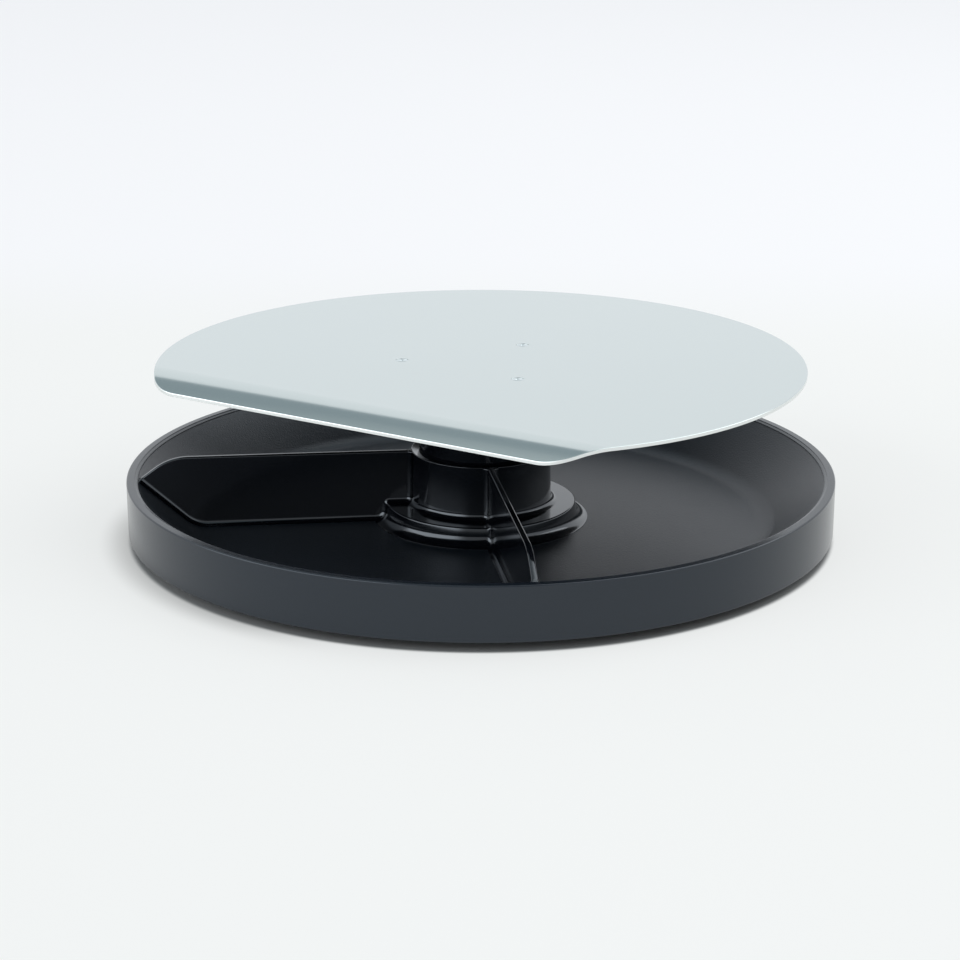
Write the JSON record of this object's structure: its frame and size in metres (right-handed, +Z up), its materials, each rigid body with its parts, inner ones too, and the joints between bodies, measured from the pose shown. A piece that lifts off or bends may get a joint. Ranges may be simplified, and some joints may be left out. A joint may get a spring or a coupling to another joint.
{
  "type": "turntable display stand",
  "caption": "Round storage tray on rubber feet with dividers and a short column that carries a lift-out riser and a turning sheet-metal platform with a bent front lip.",
  "frame": {"origin": "on the desk, at the turning axis, which is the bottom centre of the bounding box", "axes": "+Z up along the turning axis, -Y towards the front of the tray, midway between its two dividers"},
  "size_m": [0.32, 0.32, 0.0775],
  "materials": {
    "tray_plastic": "fine spark-eroded texture, dark grey",
    "gloss_black": "polished black moulding",
    "hub_plastic": "satin black moulding",
    "step_plastic": "natural glass-filled moulding",
    "cage_plastic": "natural nylon",
    "foot_rubber": "matt",
    "cover_steel": "black powder coat",
    "platform_silver": "satin silver coat with a cool tint",
    "rivet_metal": "flush, finished with the platform",
    "zinc_steel": "bright zinc",
    "race_steel": "turned and ground",
    "ball_steel": "polished",
    "bush_brass": "turned"
  },
  "bodies": {
    "base": {"storage_tray": "tray_plastic", "divider_column": "gloss_black", "base_cover": "cover_steel", "base_screws": "zinc_steel", "rubber_feet": "foot_rubber", "height_steps": "step_plastic", "step_screws": "zinc_steel"},
    "riser": {"riser_tube": "gloss_black", "pivot_bush": "bush_brass", "lower_race": "race_steel", "thrust_washer": "cage_plastic"},
    "cage": {"ball_cage": "cage_plastic", "bearing_balls": "ball_steel"},
    "deck": {"upper_race": "race_steel", "spin_hub": "hub_plastic", "pivot_bolt": "zinc_steel", "spring_washer": "zinc_steel", "plain_washer": "zinc_steel", "lock_nut": "zinc_steel", "rivet_washers": "zinc_steel", "platform_rivets": "rivet_metal", "platform": "platform_silver"}
  },
  "joints": [
    {"name": "height_lift", "type": "slide", "parent": "base", "child": "riser", "axis": [0, 0, 1], "range_m": [0, 0.012]},
    {"name": "platform_spin", "type": "hinge", "parent": "riser", "child": "deck", "pos_m": [0, 0, 0.0675], "axis": [0, 0, 1], "continuous": true},
    {"name": "cage_spin", "type": "hinge", "parent": "riser", "child": "cage", "pos_m": [0, 0, 0.0675], "axis": [0, 0, 1], "continuous": true}
  ],
  "couplings": [
    {"joint": "cage_spin", "follows": "platform_spin", "ratio": 0.5}
  ]
}
